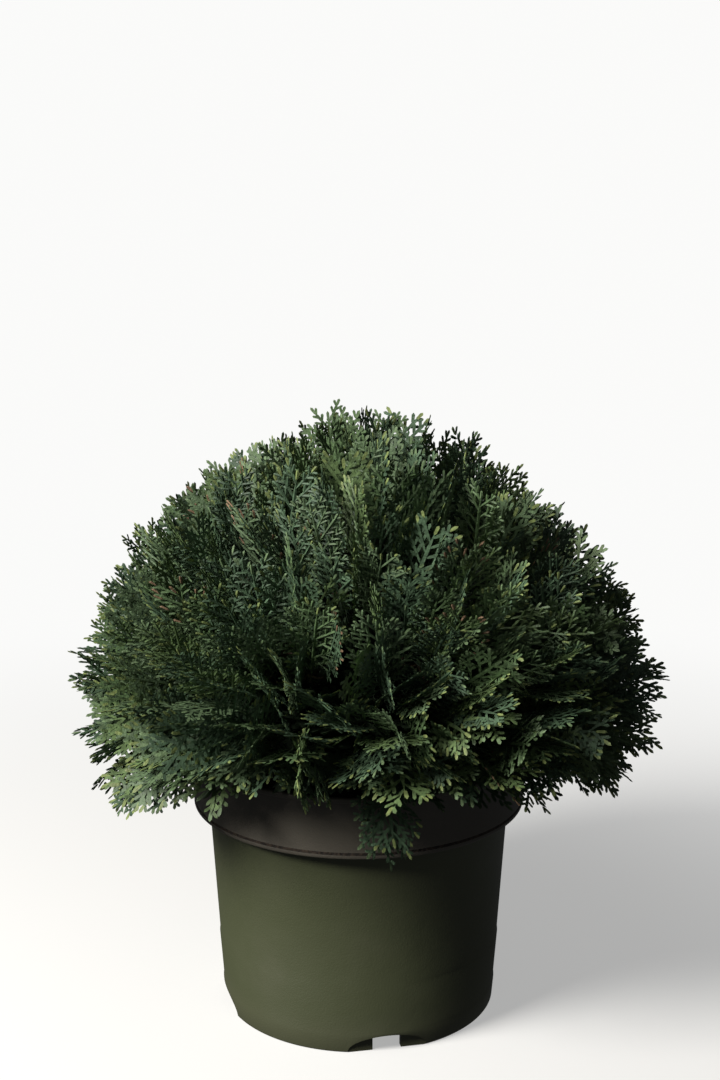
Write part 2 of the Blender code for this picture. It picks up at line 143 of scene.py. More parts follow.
def mesh_from(bm, name, finish=None):
    """The mesh of a shape that is finished with, in its material where it has one."""
    mesh = bpy.data.meshes.new(name)
    bm.to_mesh(mesh)
    bm.free()
    if finish:
        mesh.materials.append(finish)
    return mesh


def add_to_scene(name, data):
    ob = bpy.data.objects.new(name, data)
    bpy.context.scene.collection.objects.link(ob)
    return ob


lens = bpy.data.cameras.new("camera")
lens.sensor_width = SENSOR_LONG_SIDE_MM
lens.lens = FOCAL_LENGTH_PX / PICTURE_HEIGHT_PX * SENSOR_LONG_SIDE_MM
camera = add_to_scene("camera", lens)
camera.location = CAMERA_PLACE
camera.rotation_euler = (math.pi / 2 + CAMERA_PITCH, 0.0, 0.0)
bpy.context.scene.camera = camera
bpy.context.scene.view_settings.view_transform = "Standard"

key = bpy.data.lights.new("key", "AREA")
key.shape = "DISK"
key.size = KEY_SIZE
key.energy = KEY_WATTS
key.color = KEY_COLOUR
key_lamp = add_to_scene("key", key)
key_lamp.location = KEY_PLACE
key_lamp.rotation_euler = (KEY_AIM - KEY_PLACE).to_track_quat("-Z", "Y").to_euler()

world = bpy.data.worlds.new("studio")
world.use_nodes = True
world.node_tree.nodes.clear()
air = Shade(world.node_tree)
seen = air.node("ShaderNodeLightPath", output="Is Camera Ray")
fill = air.node("ShaderNodeBackground", inputs={"Color": FILL_COLOUR, "Strength": FILL_STRENGTH})
backdrop = air.node("ShaderNodeBackground", inputs={"Color": PALE})
sky = air.node("ShaderNodeMixShader", inputs={0: seen, 1: fill, 2: backdrop})
world_output = world.node_tree.nodes.new("ShaderNodeOutputWorld")
air.feed(world_output.inputs["Surface"], sky)
bpy.context.scene.world = world

# The floor takes the lamp and the shadow near the pot, and fades into the background further out.
floor_finish, sockets, ground = new_finish("pale_floor")
floor_nodes = floor_finish.node_tree.nodes
ground.feed(sockets["Base Color"], PALE)
ground.feed(sockets["Roughness"], FLOOR_ROUGHNESS)
away = ground.node("ShaderNodeVectorMath", {"operation": "LENGTH"}, {0: ground}, "Value")
glow = ground.node("ShaderNodeEmission", inputs={"Color": PALE})
lit = Shade(floor_finish.node_tree, floor_nodes["Principled BSDF"].outputs["BSDF"])
glowing = away.fade(*FLOOR_FADE).between(FLOOR_GLOW, 1.0)
faded = ground.node("ShaderNodeMixShader", inputs={0: glowing, 1: lit, 2: glow})
ground.feed(floor_nodes["Material Output"].inputs["Surface"], faded)

floor_shape = bmesh.new()
bmesh.ops.create_circle(floor_shape, cap_ends=True, segments=FLOOR_SIDES, radius=FLOOR_RADIUS)
floor = add_to_scene("floor", mesh_from(floor_shape, "floor", floor_finish))
floor.visible_diffuse = False
floor.visible_glossy = False


# The pot: a round five-litre nursery container of dark olive polypropylene, injection moulded in one piece.
# A tall plain band stiffens its rim, a ring stiffens its foot, and four arches are pressed in for drainage.
pot_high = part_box("pot")[1]
RIM_RADIUS = pot_high.x
RIM_HEIGHT = pot_high.z
BAND_FOOT_HEIGHT = 0.135
BAND_FOOT_RADIUS = 0.106
BODY_TOP_RADIUS = 0.0963
FOOT_RADIUS = 0.0882
WALL = 0.0016
LIP = 0.0014
LIP_SKIRT = 2.0 * LIP
LIP_SLOPE_END = 2.4 * LIP
BEAD_HEIGHT = 0.0024
BEAD_PROUD = 0.0004
LINE_HEIGHTS = (0.045, 0.013)        # two faint steps round the body
LINE_STEP, LINE_SLOPE = 0.0002, 0.0004
FLOOR_UNDERSIDE = 0.010
FLOOR_TOP = 0.012
FOOT_RING_WIDTH = 0.0077
PAD_RADIUS = 0.017
EDGE = 0.0010
LIP_POINTS, EDGE_POINTS, FILLET_POINTS = 9, 5, 4
TURN_STEPS = 192
MERGE_DISTANCE = 0.000001
ARCH_COUNT = 4
ARCH_FIRST_ANGLE = math.radians(-78)
ARCH_WIDTH, ARCH_HEIGHT, ARCH_DEPTH = 0.050, 0.011, 0.0040
ARCH_SIDES = 64
NOTCH_WIDTH, NOTCH_HEIGHT, NOTCH_MARGIN = 0.018, 0.0090, 0.004
CUTTER_LENGTH = 0.020
MOULDED_CREASE = 32
OLIVE = (0.062, 0.071, 0.035, 1.0)
BAND_BROWN = (0.078, 0.070, 0.055, 1.0)
# The pale colour is real dust at the foot and in blotches and specks, and also the painted highlight along
# the lip.
DUST_AND_HIGHLIGHT = (0.130, 0.120, 0.090, 1.0)
BAND_COLOUR_FADE = (BAND_FOOT_HEIGHT - 0.002, BAND_FOOT_HEIGHT + 0.001)
# The top few millimetres of the rim are painted paler: a painted highlight where the lamp catches the lip.
LIP_HIGHLIGHT_FADE = (RIM_HEIGHT - 0.0035, RIM_HEIGHT - 0.0005)
FOOT_DUST_FADE = (0.0, 0.030)
BLOTCH_SCALE, BLOTCH_FADE = 22, (0.52, 0.85)
SPECKLE_SCALE, SPECKLE_FADE = 1400, (0.60, 0.80)
# How much of the pale colour each mark mixes in; the lip's share is the painted highlight.
FOOT_DUST, LIP_HIGHLIGHT_SHARE, BLOTCH_DUST, SPECKLE_DUST = 0.18, 0.45, 0.12, 0.10
PLASTIC_ROUGHNESS = (0.38, 0.58)
PLASTIC_GRAIN_SCALE, PLASTIC_WAVE_SCALE, PLASTIC_WAVE_SHARE = 900, 60, 2.0
PLASTIC_BUMP, PLASTIC_BUMP_STRENGTH = 0.00025, 0.5


def arc(centre, radius, first, last, count):
    """Points of a round corner in a profile, from one angle to another in degrees."""
    for step in range(count):
        angle = math.radians(first + (last - first) * step / (count - 1))
        yield centre[0] + radius * math.cos(angle), centre[1] + radius * math.sin(angle)


def turned(profile):
    """A profile that starts and ends on the axis, spun once round it, with its seam and poles closed."""
    bm = bmesh.new()
    points = [bm.verts.new((radius, 0.0, height)) for radius, height in profile]
    line = [bm.edges.new(pair) for pair in zip(points, points[1:])]
    bmesh.ops.spin(
        bm, geom=points + line, cent=(0, 0, 0), axis=(0, 0, 1), angle=math.tau, steps=TURN_STEPS,
        use_merge=True,
    )
    bmesh.ops.remove_doubles(bm, verts=bm.verts, dist=MERGE_DISTANCE)
    bmesh.ops.recalc_face_normals(bm, faces=bm.faces)
    return bm


def smooth(mesh, crease):
    """Smooth shading that leaves edges sharper than a number of degrees as they are."""
    mesh.shade_smooth()
    mesh.set_sharp_from_angle(angle=math.radians(crease))


def body_radius(height):
    """The outer radius of the pot's body, which tapers evenly to its foot."""
    return FOOT_RADIUS + (BODY_TOP_RADIUS - FOOT_RADIUS) * height / BAND_FOOT_HEIGHT


def band_radius(height):
    """The outer radius of the rim band, which widens evenly to the lip."""
    share = (height - BAND_FOOT_HEIGHT) / (RIM_HEIGHT - BAND_FOOT_HEIGHT)
    return BAND_FOOT_RADIUS + (RIM_RADIUS - BAND_FOOT_RADIUS) * share


ledge = BAND_FOOT_HEIGHT + WALL
bead_top = BAND_FOOT_HEIGHT + BEAD_HEIGHT
band_top = RIM_HEIGHT - LIP_SLOPE_END
ring_inside = FOOT_RADIUS - FOOT_RING_WIDTH
profile = [(0.0, FLOOR_TOP), (body_radius(FLOOR_TOP) - WALL, FLOOR_TOP)]
profile += [(BODY_TOP_RADIUS - WALL, ledge), (band_radius(ledge) - WALL, ledge)]
profile += [(RIM_RADIUS - 2 * LIP, RIM_HEIGHT - LIP)]
profile += arc((RIM_RADIUS - LIP, RIM_HEIGHT - LIP), LIP, 180, 0, LIP_POINTS)
profile += [(RIM_RADIUS, RIM_HEIGHT - LIP_SKIRT), (band_radius(band_top) - BEAD_PROUD, band_top)]
profile += [(band_radius(bead_top) - BEAD_PROUD, bead_top + BEAD_PROUD), (BAND_FOOT_RADIUS, bead_top)]
profile += arc((BAND_FOOT_RADIUS - EDGE, BAND_FOOT_HEIGHT + EDGE), EDGE, 0, -90, EDGE_POINTS)
profile += arc((BODY_TOP_RADIUS + EDGE, BAND_FOOT_HEIGHT - EDGE), EDGE, 90, 180, FILLET_POINTS)
for line_height in LINE_HEIGHTS:
    radius = body_radius(line_height)
    profile.append((radius - LINE_STEP, line_height + LINE_SLOPE))
    profile.append((radius + LINE_STEP, line_height - LINE_SLOPE))
profile += arc((FOOT_RADIUS - EDGE, EDGE), EDGE, 0, -90, EDGE_POINTS)
profile += [(ring_inside, 0.0), (ring_inside, FLOOR_UNDERSIDE)]
profile += [(PAD_RADIUS + EDGE, FLOOR_UNDERSIDE), (PAD_RADIUS, 0.0), (0.0, 0.0)]
pot_shape = turned(profile)

arches = bmesh.new()
notches = bmesh.new()
lying = Matrix.Rotation(math.pi / 2, 4, "Y")
oval = Matrix.Diagonal((CUTTER_LENGTH, ARCH_WIDTH / 2, ARCH_HEIGHT, 1.0)) @ lying
pressed_in = Matrix.Translation((FOOT_RADIUS - ARCH_DEPTH + CUTTER_LENGTH / 2, 0.0, 0.0))
block = Matrix.Diagonal((FOOT_RING_WIDTH + 2 * NOTCH_MARGIN, NOTCH_WIDTH, 2 * NOTCH_HEIGHT, 1.0))
through = Matrix.Translation((FOOT_RADIUS - FOOT_RING_WIDTH / 2, 0.0, 0.0))
for number in range(ARCH_COUNT):
    turn = Matrix.Rotation(ARCH_FIRST_ANGLE + number * math.tau / ARCH_COUNT, 4, "Z")
    bmesh.ops.create_cone(
        arches, cap_ends=True, segments=ARCH_SIDES, radius1=1, radius2=1, depth=1,
        matrix=turn @ pressed_in @ oval,
    )
    bmesh.ops.create_cube(notches, size=1.0, matrix=turn @ through @ block)

pot = add_to_scene("moulded_pot", mesh_from(pot_shape, "moulded_pot"))
cutters = []
for name, shape in (("arches", arches), ("notches", notches)):
    bmesh.ops.recalc_face_normals(shape, faces=shape.faces)
    cutter = add_to_scene(name, mesh_from(shape, name))
    cut = pot.modifiers.new(name, "BOOLEAN")
    cut.operation = "DIFFERENCE"
    cut.solver = "EXACT"
    cut.object = cutter
    cutters.append(cutter)
bpy.context.view_layer.update()
cut_mesh = bpy.data.meshes.new_from_object(pot.evaluated_get(bpy.context.evaluated_depsgraph_get()))
pot.modifiers.clear()
pot.data = cut_mesh
for cutter in cutters:
    bpy.data.objects.remove(cutter, do_unlink=True)

plastic, sockets, place = new_finish("moulded_polypropylene")
height = place.node("ShaderNodeSeparateXYZ", inputs={0: place}, output="Z")
on_band = height.fade(*BAND_COLOUR_FADE)
lip_highlight = height.fade(*LIP_HIGHLIGHT_FADE)
near_foot = 1 - height.fade(*FOOT_DUST_FADE)
blotches = place.cloud(BLOTCH_SCALE, detail=4.0)
speckle = place.cloud(SPECKLE_SCALE, detail=2.0)
# Real dust at the foot and in blotches and specks, plus a painted highlight along the lip.
dust_and_highlight = near_foot * FOOT_DUST + lip_highlight * LIP_HIGHLIGHT_SHARE + blotches.fade(*BLOTCH_FADE) * BLOTCH_DUST
dust_and_highlight += speckle.fade(*SPECKLE_FADE) * SPECKLE_DUST
waves = place.cloud(PLASTIC_WAVE_SCALE, detail=2.0)
grain = place.cloud(PLASTIC_GRAIN_SCALE, detail=3.0) + waves * PLASTIC_WAVE_SHARE
place.feed(sockets["Base Color"], dust_and_highlight.blend(on_band.blend(OLIVE, BAND_BROWN), DUST_AND_HIGHLIGHT))
place.feed(sockets["Roughness"], blotches.between(*PLASTIC_ROUGHNESS))
place.feed(sockets["Normal"], grain.bump(PLASTIC_BUMP, PLASTIC_BUMP_STRENGTH))
pot.data.materials.clear()
pot.data.materials.append(plastic)
smooth(pot.data, MOULDED_CREASE)
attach(pot, "root")
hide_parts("pot")


# The compost: dark peat and composted bark that fills the pot to just under its rim, with loose crumbs and
# slivers of bark on top. It is firmed round the stem by hand when the plant is potted.
compost_low, compost_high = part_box("compost")
COMPOST_TOP = compost_high.z
COMPOST_EDGE = compost_high.x
COMPOST_INSET = 2 * WALL
COMPOST_OVER_LEDGE = 0.001
COMPOST_SHOULDER = 0.004
COMPOST_RINGS = 22
SURFACE_DROP = 0.0005
LUMPS = ((90, 0.0022), (320, 0.0012))
LUMPS_SUNK = 0.0012
ROUGH_CREASE = 60
PEAT_ROUGHNESS = 0.95
PEAT_GRAIN_SCALE = 420
PEAT_FADE = (0.35, 0.70)
PEAT_DARK = (0.012, 0.009, 0.007, 1.0)
PEAT_PALE = (0.052, 0.036, 0.024, 1.0)
PEAT_BUMP = 0.0012
CRUMBS = 900
CRUMB_SEED = 7
CRUMB_SPREAD = (0.02, 0.97)
CRUMB_SIZE = (0.0011, 0.0034)
CRUMB_TILT = 0.3
CRUMB_STRETCH = (1.0, 2.4)
CRUMB_FLATNESS = 0.6
CRUMB_SUNK = 0.0008


def mottled(sockets, pattern, fade, dark, pale, depth):
    """A pattern that mixes two colours and roughens the surface as well."""
    pattern.feed(sockets["Base Color"], pattern.fade(*fade).blend(dark, pale))
    pattern.feed(sockets["Normal"], pattern.bump(depth))


def mesh_arrays(bm):
    """The corners and triangles of a shape that is repeated, as arrays."""
    bmesh.ops.triangulate(bm, faces=bm.faces)
    bm.verts.index_update()
    corners = np.array([vert.co for vert in bm.verts])
    triangles = np.array([[vert.index for vert in face.verts] for face in bm.faces])
    bm.free()
    return corners, triangles


def joined(name, blocks, triangles, finish):
    """One piece from many placed copies of a shape: blocks holds each copy's corners."""
    count, corners = blocks.shape[0], blocks.shape[1]
    faces = (triangles[None] + np.arange(count)[:, None, None] * corners).reshape(-1, 3)
    mesh = bpy.data.meshes.new(name)
    mesh.from_pydata(blocks.reshape(-1, 3).tolist(), [], faces.tolist())
    mesh.materials.append(finish)
    piece = add_to_scene(name, mesh)
    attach(piece, "root")
    return piece


bottom = compost_low.z
over_ledge = ledge + COMPOST_OVER_LEDGE
profile = [(0.0, bottom), (body_radius(bottom) - COMPOST_INSET, bottom)]
profile += [(BODY_TOP_RADIUS - COMPOST_INSET, over_ledge), (COMPOST_EDGE, over_ledge)]
profile += [(COMPOST_EDGE, COMPOST_TOP - COMPOST_SHOULDER)]
for ring in range(COMPOST_RINGS + 1):
    profile.append((COMPOST_EDGE * (1 - ring / COMPOST_RINGS), COMPOST_TOP - SURFACE_DROP))
soil = turned(profile)
for vert in soil.verts:
    if vert.co.z > COMPOST_TOP - 2 * SURFACE_DROP:
        lumps = sum(noise.noise(vert.co * scale) * depth for scale, depth in LUMPS)
        vert.co.z += lumps - LUMPS_SUNK

peat, sockets, place = new_finish("peat_and_bark")
place.feed(sockets["Roughness"], PEAT_ROUGHNESS)
crumbly = place.cloud(PEAT_GRAIN_SCALE, detail=4.0)
mottled(sockets, crumbly, PEAT_FADE, PEAT_DARK, PEAT_PALE, PEAT_BUMP)
surface = add_to_scene("compost_fill", mesh_from(soil, "compost_fill", peat))
smooth(surface.data, ROUGH_CREASE)
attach(surface, "root")
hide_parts("compost")

chance = random.Random(CRUMB_SEED)
crumb = bmesh.new()
bmesh.ops.create_icosphere(crumb, subdivisions=1, radius=0.5)
crumb_corners, crumb_faces = mesh_arrays(crumb)
blocks = []
for number in range(CRUMBS):
    out = COMPOST_EDGE * math.sqrt(chance.uniform(*CRUMB_SPREAD))
    angle = chance.uniform(0.0, math.tau)
    size = chance.uniform(*CRUMB_SIZE)
    spin = Matrix.Rotation(chance.uniform(0.0, math.tau), 3, "Z")
    spin = spin @ Matrix.Rotation(chance.gauss(0.0, CRUMB_TILT), 3, "X")
    stretch = Matrix.Diagonal((size * chance.uniform(*CRUMB_STRETCH), size, size * CRUMB_FLATNESS))
    spot = Vector((out * math.cos(angle), out * math.sin(angle), COMPOST_TOP - CRUMB_SUNK))
    blocks.append(crumb_corners @ np.array(spin @ stretch).T + np.array(spot))
crumbs = joined("compost_crumbs", np.array(blocks), crumb_faces, peat)


# The trunk and boughs: one short leaning stem of living wood with thin, fibrous red-brown bark that peels in
# upright strips. It flares where its roots enter the compost, and whorls of boughs grow from it.
GAP = 0.0003
trunk_low, trunk_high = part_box("trunk")
TRUNK_TOP = trunk_high.z
TRUNK_FOOT = trunk_low.z
TRUNK_FOOT_RADIUS = 0.0105
TRUNK_WAIST_RADIUS = 0.0072
TRUNK_TIP_RADIUS = 0.0026
TRUNK_LEAN = Vector((0.006, -0.003, 0.0))
TRUNK_LEAN_POWER = 1.5
TRUNK_RINGS, TRUNK_SIDES = 70, 36
TRUNK_RING_CROWDING = 1.3
FLARE_FADE = 0.005
BUTTRESSES = 4
BUTTRESS_DEPTH = 0.16
CROWN_CENTRE = Vector((0.0, 0.0, 0.200))
# A whorl: its name, its boughs, how steeply their masses face up, its first azimuth, its height.
WHORLS = (
    ("low", 8, math.radians(-3), math.radians(12), 0.180),
    ("middle", 7, math.radians(27), math.radians(31), 0.199),
    ("upper", 4, math.radians(58), math.radians(5), 0.221),
)
AZIMUTH_JITTER = math.radians(4)
ELEVATION_JITTER = math.radians(3)
HEIGHT_JITTER = 0.002
BOUGH_FOOT_RADIUS = 0.0024
BOUGH_TIP_RADIUS = 0.0016
BOUGH_REACH = 0.050
BOUGH_RISE = 0.7
BOUGH_SIDES, BOUGH_RINGS = 14, 26
LIMB_BEND = 0.5
STEEP = 0.9
SEED = 41
BARK_RELIEF = 0.10
FIBRE_SCALE = np.array((900.0, 900.0, 160.0))
STRIP_SCALE = np.array((380.0, 380.0, 60.0))
STRIP_SHIFT = np.array((9.0, 0.0, 0.0))
BARK_ROUGHNESS = 0.9
BARK_STRINGS = (900.0, 900.0, 130.0)
BARK_FADE = (0.30, 0.72)
BARK_DARK = (0.040, 0.024, 0.016, 1.0)
BARK_PALE = (0.170, 0.105, 0.070, 1.0)
BARK_BUMP = 0.0006


def direction(azimuth, elevation):
    """A unit vector; azimuth 0 is the right side and it turns towards the back."""
    flat = math.cos(elevation)
    return Vector((flat * math.cos(azimuth), flat * math.sin(azimuth), math.sin(elevation)))


def mass_plan():
    """Each bough's mass: its name, the way it faces, and the height where the bough leaves the trunk."""
    chance = random.Random(SEED)
    plan = []
    for whorl, count, elevation, first, height in WHORLS:
        for index in range(count):
            azimuth = first + index * math.tau / count
            azimuth += chance.uniform(-AZIMUTH_JITTER, AZIMUTH_JITTER)
            rise = elevation + chance.uniform(-ELEVATION_JITTER, ELEVATION_JITTER)
            leave = height + chance.uniform(-HEIGHT_JITTER, HEIGHT_JITTER)
            plan.append((f"{whorl}_{index + 1}", direction(azimuth, rise), leave))
    return plan


def trunk_share(height):
    """How far up the trunk a height is: 0 at its foot and 1 at its top."""
    return max(0.0, (height - TRUNK_FOOT) / (TRUNK_TOP - TRUNK_FOOT))


def trunk_centre(height):
    """The trunk's centre line: upright at the ground, then leaning."""
    lean = TRUNK_LEAN * trunk_share(height) ** TRUNK_LEAN_POWER
    return Vector((lean.x, lean.y, height))


def flare(height):
    """How much is left of the root flare at a height: all of it at the foot."""
    return math.exp((TRUNK_FOOT - height) / FLARE_FADE)


def trunk_radius(height):
    """A root flare at the foot, then an even taper."""
    taper = TRUNK_WAIST_RADIUS + (TRUNK_TIP_RADIUS - TRUNK_WAIST_RADIUS) * trunk_share(height)
    return taper + (TRUNK_FOOT_RADIUS - TRUNK_WAIST_RADIUS) * flare(height)


def curved(start, bend, end, count):
    """Points along a curve that sets out towards a third point, and comes in to its end from there."""
    shares = [step / (count - 1) for step in range(count)]
    return [start.lerp(bend, share).lerp(bend.lerp(end, share), share) for share in shares]


def bough_curve(way, leave):
    """From inside the trunk's bark to the bough's tip, curving from flat to the way its mass faces."""
    flat = Vector((way.x, way.y, 0.0)).normalized()
    rise = math.asin(way.z) * BOUGH_RISE
    tip = CROWN_CENTRE + direction(math.atan2(way.y, way.x), rise) * BOUGH_REACH
    start = trunk_centre(leave) + flat * (trunk_radius(leave) - 2 * GAP)
    return start, start + flat * (tip - start).length * LIMB_BEND, tip


def limb_shape(sides, rings):
    """A capped cylinder with rings along it, as arrays."""
    bm = bmesh.new()
    bmesh.ops.create_cone(bm, cap_ends=True, segments=sides, radius1=1.0, radius2=1.0, depth=1.0)
    upright = [edge for edge in bm.edges if abs(edge.verts[0].co.z - edge.verts[1].co.z) > 0.5]
    bmesh.ops.subdivide_edges(bm, edges=upright, cuts=rings - 2)
    bmesh.ops.recalc_face_normals(bm, faces=bm.faces)
    return mesh_arrays(bm)


def limb_corners(corners, path, radii):
    """A limb shape's corners, its rings moved onto a path with a radius at each point."""
    path = np.array(path)
    radii = np.array(radii)
    ring = np.rint((corners[:, 2] + 0.5) * (len(path) - 1)).astype(int)
    along = np.gradient(path, axis=0)
    along /= np.linalg.norm(along, axis=1)[:, None]
    beside = (1.0, 0.0, 0.0) if abs(along[:, 2]).mean() > STEEP else (0.0, 0.0, 1.0)
    first = np.cross(beside, along)
    first /= np.linalg.norm(first, axis=1)[:, None]
    second = np.cross(along, first)
    out = corners[:, :1] * first[ring] + corners[:, 1:2] * second[ring]
    return path[ring] + out * radii[ring, None]


def fibrous(corners, centres):
    """Bark's relief: each corner moved out or in along its own radius by upright, stringy noise."""
    centres = np.array(centres)
    made = corners.copy()
    for row, corner in enumerate(corners):
        nearest = centres[np.argmin(((centres - corner) ** 2).sum(axis=1))]
        fibre = noise.noise(Vector(corner * FIBRE_SCALE))
        strip = noise.noise(Vector(corner * STRIP_SCALE + STRIP_SHIFT))
        made[row] = corner + (corner - nearest) * BARK_RELIEF * (fibre + strip)
    return made


bark, sockets, place = new_finish("fibrous_bark")
strings = place.node("ShaderNodeMapping", inputs={0: place, "Scale": BARK_STRINGS})
place.feed(sockets["Roughness"], BARK_ROUGHNESS)
fibres = strings.cloud(1.0, detail=4.0)
mottled(sockets, fibres, BARK_FADE, BARK_DARK, BARK_PALE, BARK_BUMP)

trunk_corners, trunk_faces = limb_shape(TRUNK_SIDES, TRUNK_RINGS)
shares = [(ring / (TRUNK_RINGS - 1)) ** TRUNK_RING_CROWDING for ring in range(TRUNK_RINGS)]
heights = [TRUNK_FOOT + (TRUNK_TOP - TRUNK_FOOT) * share for share in shares]
centres = [trunk_centre(level) for level in heights]
stem_corners = limb_corners(trunk_corners, centres, [trunk_radius(level) for level in heights])
for row, corner in enumerate(stem_corners):
    centre = trunk_centre(corner[2])
    out = Vector(corner) - centre
    buttress = BUTTRESS_DEPTH * math.cos(BUTTRESSES * math.atan2(out.y, out.x)) * flare(corner[2])
    stem_corners[row] = centre + out * (1 + buttress)
trunk = joined("bark_of_trunk", fibrous(stem_corners, centres)[None], trunk_faces, bark)
smooth(trunk.data, ROUGH_CREASE)
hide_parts("trunk")

bough_corners, bough_faces = limb_shape(BOUGH_SIDES, BOUGH_RINGS)
radii = np.linspace(BOUGH_FOOT_RADIUS, BOUGH_TIP_RADIUS, BOUGH_RINGS)
masses = mass_plan()
blocks = []
for name, way, leave in masses:
    path = curved(*bough_curve(way, leave), BOUGH_RINGS)
    blocks.append(fibrous(limb_corners(bough_corners, path, radii), path))
boughs = joined("bark_of_boughs", np.array(blocks), bough_faces, bark)
smooth(boughs.data, ROUGH_CREASE)
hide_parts(*(f"bough_{name}" for name, way, leave in masses))


# The twigs: thin side shoots that slant forward from the stem of each mass, and fork into finer ones that
# carry the flat sprays. They are young wood, green-brown and smooth. Their piece is joined in the next
# section, because the finest twigs end at the sprays.
REACH_RIGHT = 0.195
REACH_LEFT = 0.186
REACH_FRONT = 0.180
REACH_BACK = 0.186
REACH_TOP = 0.190
REACH_SHOULDER = 0.178
REACH_BELOW = 0.172
SHOULDER_SHARE = 0.8
BELOW_POWER = 1.5
LOWEST_ELEVATION = math.radians(-21)
LOWEST_LEFT = 0.134
LOWEST_RIGHT = 0.150
LOWEST_FRONT = 0.187
FRONT_WIDENING = 1.25
FRONT_PULLED_IN = 0.12
STRAGGLERS = 0.10
LIFT = math.radians(24)
LIFT_FULL_AT = math.radians(45)
DROOP = math.radians(8)
GOLDEN_ANGLE = math.pi * (3 - math.sqrt(5))
MASS_STEM_SHARE = 0.66
STEM_RINGS = 5
TWIG_SIDES = 5
TWIG_RADIUS = 0.0011
FINE_TWIG_RADIUS = 0.0007
TWIG_LEAD = 0.5
TWIG_BEND = 0.4
SHORTEST_TWIG = 0.002
NEAR_RIM, OVER_RIM = 0.004, 0.006
FORK_BACK = 0.070
CELLS = 152
CELL_PULL = 0.35
CELL_SPREAD = math.radians(8.0)
SPRAYS_A_CELL = 5
SPRAY_PULL = 0.30
SPRAY_FAN = 0.10
CELL_SHORTFALL = (0.0, 0.05)
SPRAY_SHORTFALL = (0.0, 0.07)
INNER_SHORTFALL = 0.20
PULLED_IN_BELOW, PULLED_IN_OVER = -0.05, 0.30
FILLERS = 420
FILLER_DEPTH = (0.52, 0.80)
FILLER_OVER_RIM = 0.004
FILLER_SWEEP = 0.5
FILLER_LEAN = 0.3
YOUNG_WOOD_ROUGHNESS = 0.75
YOUNG_WOOD_SCALE = 260
YOUNG_WOOD_FADE = (0.35, 0.68)
YOUNG_WOOD_DARK = (0.050, 0.034, 0.020, 1.0)
YOUNG_WOOD_PALE = (0.115, 0.090, 0.045, 1.0)
YOUNG_WOOD_BUMP = 0.0003


def elevation_of(way):
    """How steeply a direction rises, as an angle."""
    return math.asin(max(-1.0, min(1.0, way.z)))


def crown_reach(way):
    """How far the crown reaches from its centre in a direction."""
    elevation = elevation_of(way)
    flat = math.hypot(way.x, way.y) or 1.0
    east, north = way.x / flat, way.y / flat
    across = REACH_RIGHT if east > 0 else REACH_LEFT
    along = REACH_BACK if north > 0 else REACH_FRONT
    side = across * east * east + along * north * north
    if elevation < 0:
        share = min(1.0, elevation / LOWEST_ELEVATION)
        return side + (REACH_BELOW - side) * share**BELOW_POWER
    share = elevation / (math.pi / 2)
    shoulder = math.sin(math.pi * share) ** 2
    plain = side + (REACH_TOP - side) * share
    return plain + (REACH_SHOULDER - plain) * shoulder * SHOULDER_SHARE


def growth(way):
    """The way a spray grows where the crown faces this way: swept upwards, and drooping low down."""
    elevation = elevation_of(way)
    if elevation > 0:
        lift = LIFT * math.sin(min(1.0, elevation / LIFT_FULL_AT) * math.pi / 2)
        swept = min(elevation + lift, math.pi / 2)
    else:
        swept = elevation - DROOP * min(1.0, elevation / LOWEST_ELEVATION)
    return direction(math.atan2(way.y, way.x), swept)


def dome_directions(count):
    """Directions spread evenly over the dome, from its lowest sprays to its top, by the golden angle."""
    lowest = math.sin(LOWEST_ELEVATION)
    for number in range(count):
        height = lowest + (1.0 - lowest) * (number + 0.5) / count
        yield direction(number * GOLDEN_ANGLE, math.asin(height))


def frontness(way):
    """How squarely a direction faces the front: 1 straight ahead, and 0 at the sides and behind."""
    return max(0.0, -way.y / math.hypot(way.x, way.y)) ** 2


def lowest_tip(way):
    """The lowest that tips reach: foliage hangs beside the pot, and ends at its rim in front."""
    side = LOWEST_LEFT if way.x < 0 else LOWEST_RIGHT
    return side + (LOWEST_FRONT - side) * min(1.0, FRONT_WIDENING * frontness(way))


def lowness(way, full_below, fades_over):
    """1 where the crown faces down or outwards, fading to 0 as it faces up."""
    return 1 - min(1.0, max(0.0, (way.z - full_below) / fades_over))


def nearest_on_line(place, line):
    """The point of a line nearest to a place."""
    best = line[0]
    for first, second in zip(line, line[1:]):
        nearest, share = intersect_point_line(place, first, second)
        nearest = first if share < 0 else second if share > 1 else nearest
        if (place - nearest).length < (place - best).length:
            best = nearest
    return best


def above_rim(place):
    """The place, lifted over the pot's rim where it would be inside it."""
    if math.hypot(place.x, place.y) < RIM_RADIUS + NEAR_RIM:
        place.z = max(place.z, RIM_HEIGHT + OVER_RIM)
    return place


def mass_stem(way, tip):
    """The line that a mass's twigs branch from, going on from its bough's tip."""
    end = CROWN_CENTRE + way * crown_reach(way) * MASS_STEM_SHARE
    bend = end - growth(way) * (end - tip).length * LIMB_BEND
    return curved(tip, bend, end, STEM_RINGS)


def twig_line(foot, end, ahead):
    """A twig's line from its foot to its end, which it comes to in the direction ahead."""
    return curved(foot, end - ahead * (end - foot).length * TWIG_BEND, end, STEM_RINGS)


stems = [mass_stem(way, bough_curve(way, leave)[2]) for name, way, leave in masses]
stems.append(mass_stem(Vector((0, 0, 1)), trunk_centre(TRUNK_TOP)))
twig_corners, twig_faces = limb_shape(TWIG_SIDES, STEM_RINGS)
stem_radii = np.linspace(BOUGH_TIP_RADIUS, TWIG_RADIUS, STEM_RINGS)
twig_radii = np.linspace(TWIG_RADIUS, FINE_TWIG_RADIUS, STEM_RINGS)
fine_twig_radii = np.full(STEM_RINGS, FINE_TWIG_RADIUS)
twig_blocks = [limb_corners(twig_corners, stem, stem_radii) for stem in stems]

